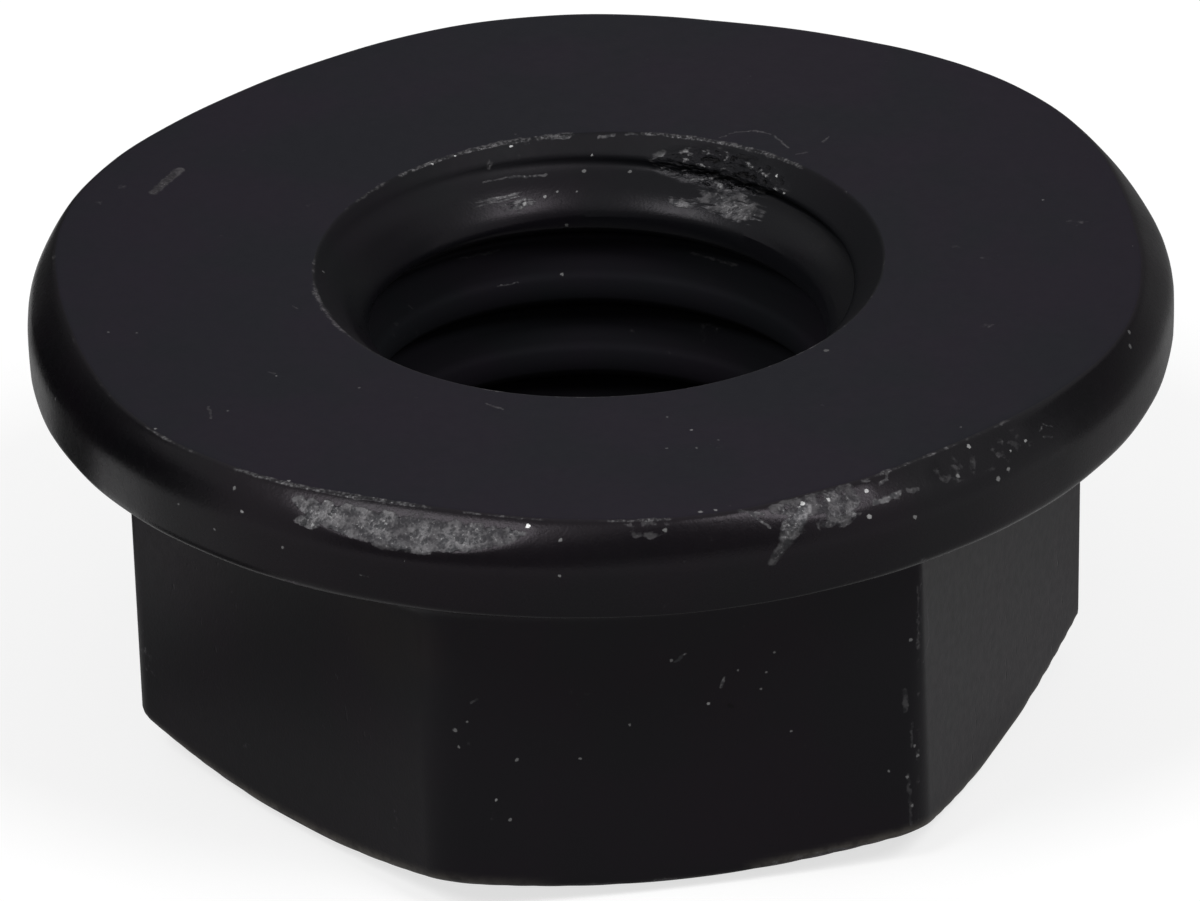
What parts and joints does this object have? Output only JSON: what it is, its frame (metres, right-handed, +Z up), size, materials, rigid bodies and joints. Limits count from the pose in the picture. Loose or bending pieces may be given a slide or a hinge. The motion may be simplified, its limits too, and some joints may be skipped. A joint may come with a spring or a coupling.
{
  "type": "hexagon flange nut",
  "caption": "Black hexagon flange nut with a plain bearing face, for an M8 coarse thread.",
  "frame": {"origin": "on the thread axis, in the middle of the hexagon end face that the nut stands on", "axes": "+Z up along the thread axis, out of the bearing face; two hexagon corners lie on the X axis, and two flats face +Y and -Y"},
  "size_m": [0.0177, 0.0176, 0.0076],
  "materials": {
    "black_steel": "black oxide on forged steel, satin, rubbed grey on the rim"
  },
  "bodies": {
    "root": {"flange_nut": "black_steel"}
  },
  "joints": []
}
